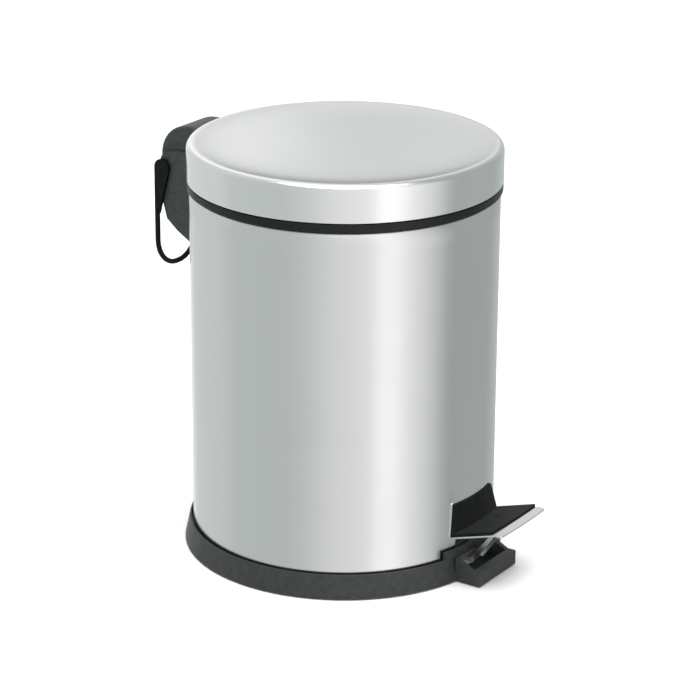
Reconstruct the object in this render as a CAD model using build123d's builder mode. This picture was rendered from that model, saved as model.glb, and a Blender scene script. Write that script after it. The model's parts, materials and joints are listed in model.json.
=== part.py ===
from build123d import *
import os
from math import acos, atan2, cos, degrees, radians, sin, sqrt, tan

# Round pedal bin with a sheet-metal shell, a lift-up lid on a rear hinge,
# an inner bucket, a foot pedal at the front and a carrying bail at the rear.
# Millimetres.  The origin is on the can's axis at floor level, +Z is up,
# -Y is the front (pedal) and +Y is the back (hinge).

# ---------------------------------------------------------------- overall
body_radius = 102.5
shell_wall = 0.5
shell_foot_z = 12.0
shell_top_z = 252.2
fit_gap = 0.2            # between fixed pieces that slide together
moving_gap = 0.5         # between pieces that move past each other
run_gap = 0.08           # radial clearance of a pin in its hole
shell_inside = body_radius - shell_wall

# ---------------------------------------------------------------- base ring
ring_bottom_z = 0.8
ring_top_z = 16.5
ring_flare = 5.9         # how far the ring's foot stands out of the shell
ring_lip = 2.5           # how far the ring's top stands out of the shell
ring_lip_wall = 1.0
ring_groove = 3.0        # half-height clearance hollow under the ring wall
ring_floor = 2.4
upstand_wall = 1.7
flange_width = 10.0
arch_top_z = 22.0
lever_half_width = 7.0
window_gap = 10.2        # beside the lever
window_half_width = lever_half_width + window_gap
arch_side = 12.8         # of the arch beside the window
arch_half_width = window_half_width + arch_side
window_top_z = 15.5
nose_front = 21.5        # how far the nose stands out of the shell
nose_well_gap = 12.5
nose_wall = 3.5
nose_half_width = lever_half_width + nose_well_gap + nose_wall
nose_front_wall = 6.0
nose_height = 10.5
nose_floor = 1.2
cheek_wall = 3.0
cheek_top_z = 14.5
boss_radius = 3.4
boss_angles = (30, 150, 210, 330)
foot_margin = 2.5
foot_sink = 1.2

# ---------------------------------------------------------------- base plate
plate_z = 44.0
plate_wall = 1.2
screw_radius = 1.6
screw_head_radius = 3.2
screw_head = 1.8

# ---------------------------------------------------------------- collar
collar_proud = 1.5       # how far the collar stands out of the shell
collar_radius = body_radius + collar_proud
collar_lap = 2.7         # how far the collar reaches down over the shell
collar_bottom_z = shell_top_z - collar_lap
collar_cover = 2.4
collar_wall = 1.2
collar_skirt = 9.0
collar_ledge = 4.6
upstand_height = 2.8
finger_slot = 7.0        # half-width of the rear slot in collar and rim

# ---------------------------------------------------------------- bucket
bucket_gap = 10.0        # between the bucket's top and the shell
bucket_taper = 8.0       # how much narrower the bucket is at its foot
bucket_top_radius = shell_inside - bucket_gap
bucket_foot_radius = bucket_top_radius - bucket_taper
bucket_wall = 1.6
bucket_clear = 3.8       # over the base plate
bucket_foot_z = plate_z + plate_wall + bucket_clear
bucket_corner = 6.0
bail_wire = 1.5
bail_lug_wall = 2.0
bail_lug_half = 4.5

# ---------------------------------------------------------------- lid
lid_proud = 1.7
lid_radius = body_radius + lid_proud
lid_wall = 0.7
lid_gap = 0.6            # between the collar and the lid's lower edge
lid_height = 27.6        # of the lid's rim over the shell's top edge
lid_top_z = shell_top_z + lid_height
lid_dish = 1.2
lid_dish_inset = 44.0    # of the dish's floor from the lid's edge
lid_dish_radius = lid_radius - lid_dish_inset
lid_slope_width = 38.5
lid_corner = 4.2
hem_radius = 0.7

# ---------------------------------------------------------------- hinge
hinge_offset = 15.5      # of the hinge pin behind the shell
hinge_drop = 0.2
hinge_y = body_radius + hinge_offset
hinge_z = shell_top_z - hinge_drop
hinge_pin_radius = 2.0
lid_angle = 72.0
hub_radius = 5.0
hood_half_width = 16.5
hood_wall = 2.0
hood_edge = 2.0
hood_radius = 21.8
hood_tail_angle = -24.0
hood_shoulder_angle = 60.0
hood_rise = 18.5         # of the hood's front edge over the hinge pin
hood_foot_rise = 5.2
hood_front = 1.8
finger_length = 22.0
finger_half_width = 4.0
finger_wall = 4.0
finger_tip = 2.5

# ---------------------------------------------------------------- housing
housing_wall = 3.0
housing_depth = 64.5
housing_foot_z = hinge_z - housing_depth
housing_rise = 2.0
pin_inset = 1.0          # of the pin's blind end inside the housing's left face
pin_cover = 4.2          # of the cheeks' tops over the hinge pin's axis
housing_top_z = hinge_z + housing_rise
housing_back = 1.9
housing_mouth = 8.0      # of the rear wall's edge under the hinge pin
housing_screw_x = 11.0
housing_screw_drop = 37.0
housing_screw_z = hinge_z - housing_screw_drop
housing_screw_radius = 2.0
housing_boss = 4.5
backing_wall = 1.4
backing_half_width = 17.0
backing_half_height = 9.0

# ---------------------------------------------------------------- carry bail
carry_back = 17.0        # bail pivot behind the hinge pin
carry_below = 8.0
carry_y = hinge_y + carry_back
carry_z = hinge_z - carry_below
carry_drop = 72.5
carry_set_back = 4.3     # of the bail's wire behind its pivot
carry_wire = 1.8
carry_ear = 6.0
carry_ear_wall = 2.4
carry_peg = 2.2
carry_neck = 32.0
carry_corner = 21.0
carry_gap = 0.3

# ---------------------------------------------------------------- lift rod
rod_inset = 5.0
rod_y = shell_inside - rod_inset
rod_radius = 2.0
rod_cap_radius = 3.6
rod_cap_height = 6.0
rod_cap_depth = 4.0
rod_top_gap = 0.6
rod_foot_gap = 0.4
guide_lower_z = 72.0
guide_drop = 72.0
guide_zs = {"rod_guide_lower": guide_lower_z, "rod_guide_upper": hinge_z - guide_drop}
guide_half_width = 7.0
guide_height = 8.0
guide_gap = 0.3

# ---------------------------------------------------------------- pedal
pedal_half_width = 28.5
pedal_top_half_width = 23.0
pedal_gap = 5.0          # between the shell and the pedal's valley
pedal_valley = body_radius + pedal_gap
pedal_valley_z = 34.3
pedal_top_z = 55.0
pedal_lean = 3.5
pedal_wall = 1.0
pedal_slope = 17.0
pedal_reach = 29.8
pedal_lip = 6.0
pedal_bend_y = -(pedal_valley + pedal_reach)
pedal_lip_y = pedal_bend_y - pedal_lip
pedal_bow = 0.8
pedal_corner = 2.0
pad_front_y = pedal_bend_y + 1.0
pad_wall = 2.4
pad_back_wall = 2.0
pad_margin = 0.4

lever_wall = 1.2
lever_depth = 3.6
lever_z = 12.0
knee_offset = 4.5        # of the lever's knee in front of the shell
lever_knee_y = -(body_radius + knee_offset)
lever_rise = 53.0
lever_rear_half_width = 5.5
lever_rear = 2.2         # overhang of the lever behind the rod's axis
axle_inset = 30.5        # of the pedal axle behind the shell's front
axle_y = -(body_radius - axle_inset)
lever_taper = (axle_y + 17.0, axle_y + 52.0)
axle_z = 8.0
axle_radius = 2.5
axle_tail = 2.5
clip_wall = 1.0
bush_wall = 1.0
ear_radius = 5.0
spacer_radius = 4.2
cap_height = 2.0
rivet_radius = 1.5
rivet_head = 3.0
rivet_x = 9.0
pedal_rivet_x = 3.2
pedal_rivet_head = 2.4
pedal_rivet_y = pedal_bend_y + 2.9
lid_rivet_z = hinge_z + 13.5

# ---------------------------------------------------------------- derived
upstand_outer = shell_inside - fit_gap
upstand_inner = upstand_outer - upstand_wall
flange_inner = upstand_inner - flange_width
foot_outer = upstand_inner - foot_margin
foot_inner = flange_inner + foot_margin
ring_lip_radius = body_radius + ring_lip
ring_foot_radius = body_radius + ring_flare
nose_y = -(body_radius + nose_front)
cheek_x = window_half_width
collar_top_z = shell_top_z + collar_cover
collar_inner = shell_inside - fit_gap - collar_wall
ledge_radius = shell_inside - collar_ledge
rim_radius = collar_inner - fit_gap
rim_z = collar_top_z
lid_edge_z = collar_top_z + lid_gap
lid_inside = lid_radius - lid_wall
cavity_radius = hood_radius + moving_gap
cheek_inside = hood_half_width + moving_gap
housing_half_width = cheek_inside + housing_wall
housing_rear_y = hinge_y + cavity_radius + housing_back
pin_left = pin_inset - housing_half_width
half_turn = lid_angle / 2
tip_y = hinge_y - finger_length * cos(radians(half_turn))
tip_z = hinge_z - finger_length * sin(radians(half_turn))
rod_top_z = tip_z - finger_tip - rod_top_gap
rod_foot_z = lever_z + cap_height + rod_foot_gap
slope = tan(radians(pedal_slope))


def tube(outer, inner, low, high, mode=Mode.ADD):
    """A ring about the can's axis between two heights."""
    with BuildSketch(Plane.XY.offset(low)) as section:
        Circle(outer)
        Circle(inner, mode=Mode.SUBTRACT)
    extrude(section.sketch, amount=high - low, mode=mode)


def disc(radius, low, high, mode=Mode.ADD):
    """A solid disc about the can's axis between two heights."""
    with BuildSketch(Plane.XY.offset(low)) as section:
        Circle(radius)
    extrude(section.sketch, amount=high - low, mode=mode)


def turned(points, mode=Mode.ADD):
    """A closed outline of (radius, height) points turned about the can's axis."""
    with BuildSketch(Plane.XZ) as section:
        with BuildLine():
            Polyline(*points, close=True)
        make_face()
    revolve(section.sketch, axis=Axis.Z, mode=mode)


def side_slab(points, half_width, mode=Mode.ADD):
    """A closed outline of (y, z) points, thickened both ways along X."""
    with BuildSketch(Plane.YZ) as section:
        with BuildLine():
            Polyline(*points, close=True)
        make_face()
    extrude(section.sketch, amount=half_width, both=True, mode=mode)


def block(low, high, mode=Mode.ADD):
    """A box between two corners."""
    middle = [(a + b) / 2 for a, b in zip(low, high)]
    with Locations(tuple(middle)):
        Box(*[b - a for a, b in zip(low, high)], mode=mode)


def bar_x(radius, low, high, y, z, mode=Mode.ADD):
    """A round bar along X."""
    with Locations(((low + high) / 2, y, z)):
        Cylinder(radius, high - low, rotation=(0, 90, 0), mode=mode)


def bar_y(radius, low, high, x, z, mode=Mode.ADD):
    """A round bar along Y."""
    with Locations((x, (low + high) / 2, z)):
        Cylinder(radius, high - low, rotation=(90, 0, 0), mode=mode)


def bar_z(radius, low, high, x, y, mode=Mode.ADD):
    """A round bar along Z."""
    with Locations((x, y, (low + high) / 2)):
        Cylinder(radius, high - low, mode=mode)


def polar(y, z, radius, angle):
    """A point of the YZ plane at a radius and an angle about (y, z)."""
    return (y + radius * cos(radians(angle)), z + radius * sin(radians(angle)))


def around(radius, angle):
    """A point of the XY plane at a radius and an angle about the can's axis."""
    return (radius * cos(radians(angle)), radius * sin(radians(angle)))


# ---------------------------------------------------------------- the shell
with BuildPart() as body_shell:
    tube(body_radius, shell_inside, shell_foot_z, shell_top_z)
    block((-window_half_width, -body_radius - 1, shell_foot_z - 1),
          (window_half_width, 0, window_top_z), Mode.SUBTRACT)
    block((-finger_slot, 0, tip_z - finger_tip - 3),
          (finger_slot, body_radius + 1, shell_top_z + 1), Mode.SUBTRACT)
    for x in (-housing_screw_x, housing_screw_x):
        bar_y(housing_screw_radius + fit_gap, 0, body_radius + 1, x, housing_screw_z, Mode.SUBTRACT)

with BuildPart() as top_collar:
    tube(collar_radius, ledge_radius, shell_top_z, collar_top_z)
    tube(collar_radius, body_radius + fit_gap, collar_bottom_z, shell_top_z)
    tube(shell_inside - fit_gap, collar_inner, shell_top_z - collar_skirt, shell_top_z)
    tube(lid_inside - moving_gap - hem_radius, collar_inner, collar_top_z, collar_top_z + upstand_height)
    block((-finger_slot, 0, shell_top_z - collar_skirt - 1),
          (finger_slot, collar_radius + 1, lid_top_z), Mode.SUBTRACT)

# ---------------------------------------------------------------- the base
cheek_root_y = -sqrt(upstand_inner ** 2 - cheek_x ** 2) - upstand_wall / 4
window_low = (-window_half_width, nose_y + nose_front_wall, -1)
window_high = (window_half_width, -flange_inner + 2, window_top_z)

with BuildPart() as base_ring:
    turned([
        (ring_foot_radius, ring_bottom_z),
        (ring_lip_radius, ring_top_z),
        (ring_lip_radius - ring_lip_wall, ring_top_z),
        (ring_lip_radius - ring_lip_wall, shell_foot_z),
        (upstand_outer, shell_foot_z),
        (upstand_outer, plate_z),
        (upstand_inner, plate_z),
        (upstand_inner, ring_bottom_z + ring_floor),
        (flange_inner, ring_bottom_z + ring_floor),
        (flange_inner, ring_bottom_z),
    ])
    tube(ring_foot_radius - ring_groove, upstand_outer, 0, shell_foot_z - ring_groove, Mode.SUBTRACT)
    with BuildSketch(Plane.XY.offset(shell_foot_z)) as arch:
        Circle(ring_lip_radius + 0.3)
        Circle(ring_lip_radius - ring_lip_wall, mode=Mode.SUBTRACT)
        with Locations((0, -ring_lip_radius)):
            Rectangle(2 * arch_half_width, ring_lip_radius, mode=Mode.INTERSECT)
    extrude(arch.sketch, amount=arch_top_z - shell_foot_z)
    side_slab([
        (nose_y, ring_bottom_z),
        (nose_y, nose_height),
        (nose_y + nose_front_wall, nose_height),
        (-ring_lip_radius - 3, ring_top_z - 1),
        (-ring_lip_radius, ring_top_z),
        (-ring_lip_radius, ring_bottom_z),
    ], nose_half_width)
    block((-nose_half_width + nose_wall, nose_y + nose_front_wall, -1),
          (nose_half_width - nose_wall, -ring_lip_radius, ring_top_z + 1), Mode.SUBTRACT)
    block(window_low, window_high, Mode.SUBTRACT)
    block((nose_wall - nose_half_width - 0.5, nose_y + nose_front_wall - 0.5, ring_bottom_z),
          (nose_half_width - nose_wall + 0.5, -upstand_inner, ring_bottom_z + nose_floor))
    for side in (-1, 1):
        ends = sorted((side * cheek_x, side * (cheek_x + cheek_wall)))
        block((ends[0], cheek_root_y, ring_bottom_z + ring_floor),
              (ends[1], axle_y + ear_radius + 1, cheek_top_z))
    bar_x(axle_radius, -cheek_x - cheek_wall - 1, cheek_x + cheek_wall + 1, axle_y, axle_z, Mode.SUBTRACT)
    for angle in boss_angles:
        x, y = around(upstand_inner - boss_radius / 2, angle)
        bar_z(boss_radius, ring_bottom_z + ring_floor / 2, plate_z, x, y)
        bar_z(screw_radius, plate_z - 12, plate_z + 1, x, y, Mode.SUBTRACT)
    tube(foot_outer, foot_inner, 0, ring_bottom_z + foot_sink, Mode.SUBTRACT)

with BuildPart() as rubber_foot_ring:
    tube(foot_outer, foot_inner, 0, ring_bottom_z + foot_sink)
    block(window_low, window_high, Mode.SUBTRACT)

rod_notch = rod_radius + 2.5
with BuildPart() as base_plate:
    disc(upstand_outer - fit_gap, plate_z, plate_z + plate_wall)
    block((-rod_notch, rod_y - rod_notch, plate_z - 1),
          (rod_notch, body_radius, plate_z + plate_wall + 1), Mode.SUBTRACT)
    for angle in boss_angles:
        x, y = around(upstand_inner - boss_radius / 2, angle)
        bar_z(screw_radius, plate_z - 1, plate_z + plate_wall + 1, x, y, Mode.SUBTRACT)

with BuildPart() as base_screws:
    for angle in boss_angles:
        x, y = around(upstand_inner - boss_radius / 2, angle)
        bar_z(screw_radius, plate_z - 11, plate_z + plate_wall, x, y)
        bar_z(screw_head_radius, plate_z + plate_wall, plate_z + plate_wall + screw_head, x, y)

axle_end = cheek_x + cheek_wall + axle_tail
with BuildPart() as pedal_axle:
    bar_x(axle_radius, -axle_end, axle_end, axle_y, axle_z)
    chamfer(pedal_axle.faces().filter_by(Axis.X).edges(), 0.4)

with BuildPart() as axle_clips:
    for side in (-1, 1):
        ends = sorted((side * (cheek_x + cheek_wall), side * (cheek_x + cheek_wall + clip_wall)))
        bar_x(2 * axle_radius, *ends, axle_y, axle_z)
        bar_x(axle_radius, *ends, axle_y, axle_z, Mode.SUBTRACT)

# ---------------------------------------------------------------- the bucket
with BuildPart() as inner_bucket:
    with BuildSketch(Plane.XZ) as bucket_section:
        with BuildLine():
            FilletPolyline(
                (0, bucket_foot_z),
                (bucket_foot_radius - bucket_wall / 2, bucket_foot_z),
                (bucket_top_radius - bucket_wall / 2, rim_z + bucket_wall / 2),
                (rim_radius, rim_z + bucket_wall / 2),
                radius=[bucket_corner, 2],
            )
        trace(line_width=bucket_wall)
    revolve(axis=Axis.Z)
    block((-finger_slot, bucket_top_radius + fit_gap, rim_z - 5),
          (finger_slot, body_radius, rim_z + 5), Mode.SUBTRACT)
    lug_top_z = rim_z + bucket_wall + 2 * bail_wire + 3.4
    bail_z = rim_z + bucket_wall + bail_wire + 1.9
    lug_x = (bucket_top_radius + rim_radius) / 2 - bail_lug_wall
    for side in (-1, 1):
        ends = sorted((side * lug_x, side * (lug_x + bail_lug_wall)))
        block((ends[0], -bail_lug_half, rim_z + bucket_wall / 2), (ends[1], bail_lug_half, lug_top_z))
    bar_x(bail_wire + fit_gap, -rim_radius, rim_radius, 0, bail_z, Mode.SUBTRACT)

bail_radius = rim_radius - bail_wire - 0.6
with BuildPart() as bucket_bail:
    with BuildSketch(Plane.XZ):
        with Locations((-bail_radius, bail_z)):
            Circle(bail_wire)
    revolve(axis=Axis.Z, revolution_arc=180)
    for side in (-1, 1):
        ends = sorted((side * (lug_x - 1.5), side * bail_radius))
        bar_x(bail_wire, *ends, 0, bail_z)

# ---------------------------------------------------------------- the lid
with BuildPart() as lid_envelope:
    with BuildSketch(Plane.XZ) as envelope_section:
        with BuildLine():
            FilletPolyline(
                (0, lid_edge_z),
                (0, lid_top_z),
                (lid_radius, lid_top_z),
                (lid_radius, lid_edge_z),
                radius=[0.01, lid_corner],
            )
            Line((lid_radius, lid_edge_z), (0, lid_edge_z))
        make_face()
    revolve(axis=Axis.Z)

half = lid_wall / 2
with BuildPart() as lid_shell:
    with BuildSketch(Plane.XZ) as lid_section:
        with BuildLine():
            FilletPolyline(
                (0, lid_top_z - lid_dish - half),
                (lid_dish_radius, lid_top_z - lid_dish - half),
                (lid_dish_radius + lid_slope_width, lid_top_z - half),
                (lid_radius - half, lid_top_z - half),
                (lid_radius - half, lid_edge_z),
                radius=[2.5, 2.0, lid_corner - half],
            )
        trace(line_width=lid_wall)
        with Locations((lid_radius - hem_radius, lid_edge_z + hem_radius)):
            Circle(hem_radius)
    revolve(axis=Axis.Z)
    for x in (-rivet_x, rivet_x):
        bar_y(rivet_radius, 0, lid_radius + 1, x, lid_rivet_z, Mode.SUBTRACT)

lid_plate_wall = 1.2
lid_plate_inner = lid_inside - lid_plate_wall
with BuildPart() as lid_backing_plate:
    with BuildSketch(Plane.XY.offset(lid_rivet_z - 7)) as lid_plate_section:
        Circle(lid_inside)
        Circle(lid_plate_inner, mode=Mode.SUBTRACT)
        with Locations((0, lid_inside)):
            Rectangle(2 * (rivet_x + 5), lid_inside, mode=Mode.INTERSECT)
    extrude(amount=14)
    for x in (-rivet_x, rivet_x):
        bar_y(rivet_radius, 0, lid_radius + 1, x, lid_rivet_z, Mode.SUBTRACT)


def hood_outline(inset, front_y, low_z):
    """Side outline of the hood, drawn inside its outer face by an inset."""
    radius = hood_radius - inset
    tail = polar(hinge_y, hinge_z, radius, hood_tail_angle)
    middle = polar(hinge_y, hinge_z, radius, (hood_tail_angle + hood_shoulder_angle) / 2)
    shoulder = polar(hinge_y, hinge_z, radius, hood_shoulder_angle)
    front = (lid_radius - 2, hinge_z + hood_rise - inset)
    with BuildSketch(Plane.YZ) as outline:
        with BuildLine():
            back = ThreePointArc(tail, middle, shoulder)
            TangentArc(shoulder, front, tangent=back % 1)
            Polyline(front, (front[0], low_z), (hinge_y, low_z), tail)
        make_face()
        if front_y > front[0]:
            with Locations((front_y, hinge_z)):
                Rectangle(200, 200, align=(Align.MIN, Align.CENTER), mode=Mode.INTERSECT)
    return outline.sketch


hood_low_z = hinge_z + hood_foot_rise
wall_y = lid_radius + hood_front
with BuildPart() as lid_hood:
    extrude(hood_outline(0, 0, hood_low_z), amount=hood_half_width, both=True)
    fillet(lid_hood.faces().filter_by(Axis.X).edges().filter_by(GeomType.CIRCLE), hood_edge)
    block((-hood_half_width, hinge_y - hub_radius, hinge_z),
          (hood_half_width, hinge_y + hub_radius, hood_low_z + 2))
    extrude(hood_outline(hood_wall, wall_y, hinge_z - 10), amount=hood_half_width - hood_wall,
            both=True, mode=Mode.SUBTRACT)
    add(lid_envelope.part, mode=Mode.SUBTRACT)
    bar_x(hub_radius, -hood_half_width, hood_half_width, hinge_y, hinge_z)
    finger_plane = Plane(
        origin=(0, hinge_y, hinge_z),
        x_dir=(0, -cos(radians(half_turn)), -sin(radians(half_turn))),
        z_dir=(1, 0, 0),
    )
    with BuildSketch(finger_plane) as finger:
        with Locations((finger_length / 2, 0)):
            Rectangle(finger_length, finger_wall)
        with Locations((finger_length, 0)):
            Circle(finger_tip)
    extrude(amount=finger_half_width, both=True)
    bar_x(hinge_pin_radius + run_gap, -housing_half_width, housing_half_width, hinge_y, hinge_z, Mode.SUBTRACT)
    for x in (-rivet_x, rivet_x):
        bar_y(rivet_radius, lid_inside - 5, wall_y + 1, x, lid_rivet_z, Mode.SUBTRACT)

rivet_seat_y = sqrt(lid_plate_inner ** 2 - (rivet_x + rivet_head) ** 2)
with BuildPart() as lid_rivets:
    for x in (-rivet_x, rivet_x):
        bar_y(rivet_radius, rivet_seat_y, wall_y, x, lid_rivet_z)
        bar_y(rivet_head, rivet_seat_y - 1.2, rivet_seat_y, x, lid_rivet_z)
        bar_y(rivet_head, wall_y, wall_y + 1.2, x, lid_rivet_z)

# ---------------------------------------------------------------- the hinge
with BuildPart() as hinge_housing:
    side_slab([
        (body_radius - 5, housing_foot_z),
        (body_radius + 0.6, housing_foot_z),
        (body_radius + 9.5, housing_foot_z + 6),
        (hinge_y + 6, housing_foot_z + 13),
        (carry_y - 2, housing_foot_z + 20.5),
        (housing_rear_y - 1.7, hinge_z - 16),
        (housing_rear_y - 1.2, hinge_z - 9),
        (housing_rear_y - 5.5, hinge_z - 0.5),
        (housing_rear_y - 7, housing_top_z),
        (hinge_y + hub_radius + 1, hinge_z + pin_cover),
        (hinge_y - hub_radius - 1, hinge_z + pin_cover),
        (hinge_y - 2 * hub_radius - 1, housing_top_z),
        (body_radius - 5, housing_top_z),
    ], housing_half_width)
    bar_x(cavity_radius, -cheek_inside, cheek_inside, hinge_y, hinge_z, Mode.SUBTRACT)
    block((-cheek_inside, hinge_y, hinge_z - housing_mouth),
          (cheek_inside, housing_rear_y + 1, hinge_z + pin_cover + 1), Mode.SUBTRACT)
    block((-cheek_inside, 0, tip_z - finger_tip - moving_gap),
          (cheek_inside, hinge_y, hinge_z + pin_cover + 1), Mode.SUBTRACT)
    block((-cheek_inside, 0, housing_screw_z - backing_half_height - 1),
          (cheek_inside, carry_y - 8, hinge_z - cavity_radius - housing_wall), Mode.SUBTRACT)
    for x in (-housing_screw_x, housing_screw_x):
        bar_y(housing_boss, body_radius - 5, carry_y - 7, x, housing_screw_z)
    disc(body_radius, 0, collar_bottom_z - fit_gap, Mode.SUBTRACT)
    disc(collar_radius + fit_gap, collar_bottom_z - fit_gap, lid_top_z, Mode.SUBTRACT)
    for x in (-housing_screw_x, housing_screw_x):
        bar_y(housing_screw_radius, 0, body_radius + 12.5, x, housing_screw_z, Mode.SUBTRACT)
    bar_x(hinge_pin_radius, pin_left, housing_half_width, hinge_y, hinge_z, Mode.SUBTRACT)
    bar_x(carry_peg + run_gap, -housing_half_width, -cheek_inside, carry_y, carry_z, Mode.SUBTRACT)
    bar_x(carry_peg + run_gap, cheek_inside, housing_half_width, carry_y, carry_z, Mode.SUBTRACT)

with BuildPart() as hinge_pin:
    bar_x(hinge_pin_radius, pin_left, housing_half_width, hinge_y, hinge_z)

with BuildPart() as housing_backing_plate:
    with BuildSketch(Plane.XY.offset(housing_screw_z - backing_half_height)) as backing_section:
        Circle(shell_inside)
        Circle(shell_inside - backing_wall, mode=Mode.SUBTRACT)
        with Locations((0, shell_inside)):
            Rectangle(2 * backing_half_width, shell_inside, mode=Mode.INTERSECT)
    extrude(amount=2 * backing_half_height)
    for x in (-housing_screw_x, housing_screw_x):
        bar_y(housing_screw_radius, 0, body_radius + 1, x, housing_screw_z, Mode.SUBTRACT)

screw_seat_y = sqrt((shell_inside - backing_wall) ** 2 - (housing_screw_x + screw_head_radius) ** 2)
with BuildPart() as housing_screws:
    for x in (-housing_screw_x, housing_screw_x):
        bar_y(housing_screw_radius, screw_seat_y, body_radius + 12, x, housing_screw_z)
        bar_y(screw_head_radius, screw_seat_y - screw_head, screw_seat_y, x, housing_screw_z)

# ---------------------------------------------------------------- the carry bail
ear_x = housing_half_width + carry_gap
wire_x = ear_x + carry_wire
wire_y = carry_y + carry_set_back
neck_z = carry_z - carry_neck
neck_angle = degrees(atan2(-carry_neck, carry_set_back))
neck_swing = degrees(acos((carry_ear - carry_wire) / sqrt(carry_neck ** 2 + carry_set_back ** 2)))
with BuildPart() as carry_bail:
    with BuildSketch(Plane.YZ.offset(ear_x)) as ear:
        with Locations((carry_y, carry_z)):
            Circle(carry_ear)
        with Locations((wire_y, neck_z)):
            Circle(carry_wire)
        with BuildLine():
            Polyline(
                polar(carry_y, carry_z, carry_ear, neck_angle + neck_swing),
                polar(carry_y, carry_z, carry_ear, neck_angle - neck_swing),
                polar(wire_y, neck_z, carry_wire, neck_angle - neck_swing),
                polar(wire_y, neck_z, carry_wire, neck_angle + neck_swing),
                close=True,
            )
        make_face()
    extrude(amount=carry_ear_wall)
    bar_x(carry_peg, cheek_inside + carry_gap, ear_x, carry_y, carry_z)
    mirror(about=Plane.YZ)
    with BuildLine() as loop:
        FilletPolyline(
            (-wire_x, wire_y, neck_z + 2),
            (-wire_x, wire_y, carry_z - carry_drop),
            (wire_x, wire_y, carry_z - carry_drop),
            (wire_x, wire_y, neck_z + 2),
            radius=carry_corner,
        )
    with BuildSketch(Plane.XY.offset(neck_z + 2)):
        with Locations((-wire_x, wire_y)):
            Circle(carry_wire)
    sweep(path=loop.wires()[0])

# ---------------------------------------------------------------- the lift rod
with BuildPart() as push_rod:
    bar_z(rod_radius, rod_foot_z + rod_radius, rod_top_z - rod_cap_height + rod_cap_depth, 0, rod_y)
    with Locations((0, rod_y, rod_foot_z + rod_radius)):
        Sphere(rod_radius)

with BuildPart() as rod_cap:
    bar_z(rod_cap_radius, rod_top_z - rod_cap_height, rod_top_z, 0, rod_y)
    fillet(rod_cap.faces().sort_by(Axis.Z)[-1].edges(), 0.8)
    bar_z(rod_radius, rod_top_z - rod_cap_height - 1, rod_top_z - rod_cap_height + rod_cap_depth,
          0, rod_y, Mode.SUBTRACT)

guides = {}
for guide_name, guide_z in guide_zs.items():
    with BuildPart() as guide:
        with BuildSketch(Plane.XY.offset(guide_z - guide_height / 2)):
            Circle(shell_inside)
            with Locations((0, rod_y)):
                Rectangle(2 * guide_half_width, 2 * (rod_radius + 1.4), mode=Mode.INTERSECT)
            with Locations((0, shell_inside)):
                Rectangle(2 * guide_half_width, 4 * rod_radius, mode=Mode.ADD)
        extrude(amount=guide_height)
        tube(2 * body_radius, shell_inside, 0, lid_top_z, Mode.SUBTRACT)
        bar_z(rod_radius + guide_gap, 0, lid_top_z, 0, rod_y, Mode.SUBTRACT)
    guides[guide_name] = guide.part


# ---------------------------------------------------------------- the pedal
def flap_z(y):
    """Height of the front flap's top face at a place along the can."""
    return pedal_valley_z + (-y - pedal_valley) * slope


flap_root_y = -(pedal_valley - pedal_half_width)
flap_lift = pedal_wall / cos(radians(pedal_slope))
flap_under = [(flap_root_y, flap_z(flap_root_y) - flap_lift), (pedal_bend_y, flap_z(pedal_bend_y) - flap_lift)]


def pedal_front(margin, front_y):
    """Front-view outline of the upright flap, narrower at its rounded top."""
    with BuildSketch(Plane.XZ) as outline:
        with BuildLine():
            Polyline(
                (-pedal_half_width + margin, 0),
                (-pedal_half_width + margin, pedal_valley_z),
                (-pedal_top_half_width + margin, pedal_top_z - margin),
                (pedal_top_half_width - margin, pedal_top_z - margin),
                (pedal_half_width - margin, pedal_valley_z),
                (pedal_half_width - margin, 0),
                close=True,
            )
        make_face()
        fillet(outline.vertices().group_by(Axis.Z)[-1], pedal_corner - margin)
    return extrude(outline.sketch, amount=-front_y, mode=Mode.PRIVATE)


def pedal_plan(margin, front_y):
    """Plan outline of the front flap, with a bowed front edge."""
    side_y = front_y + pedal_bow
    with BuildSketch() as outline:
        with BuildLine():
            Polyline(
                (pedal_half_width - margin, side_y),
                (pedal_half_width - margin, flap_root_y),
                (-pedal_half_width + margin, flap_root_y),
                (-pedal_half_width + margin, side_y),
            )
            ThreePointArc(
                (-pedal_half_width + margin, side_y),
                (0, front_y),
                (pedal_half_width - margin, side_y),
            )
        make_face()
        fillet(outline.vertices().group_by(Axis.Y)[0], pedal_corner - margin)
    return extrude(outline.sketch, amount=100, mode=Mode.PRIVATE)


def rear_flap(start, wall):
    """Upright flap about the can's axis, leaning towards the shell."""
    turned([
        (pedal_valley + start, pedal_valley_z - 4),
        (pedal_valley + start + wall, pedal_valley_z - 4),
        (pedal_valley + start + wall, pedal_valley_z),
        (pedal_valley + start + wall - pedal_lean, pedal_top_z),
        (pedal_valley + start - pedal_lean, pedal_top_z),
        (pedal_valley + start, pedal_valley_z),
    ])


rivet_plane = Plane(
    origin=(0, pedal_rivet_y, flap_z(pedal_rivet_y)),
    x_dir=(1, 0, 0),
    z_dir=(0, sin(radians(pedal_slope)), cos(radians(pedal_slope))),
)


def pedal_rivet_holes():
    """Take the rivets' holes out of the piece being built."""
    with BuildSketch(rivet_plane) as holes:
        with Locations((-pedal_rivet_x, 0), (pedal_rivet_x, 0)):
            Circle(rivet_radius)
    extrude(holes.sketch, amount=-(pedal_wall + lever_wall + 1), mode=Mode.SUBTRACT)


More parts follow.
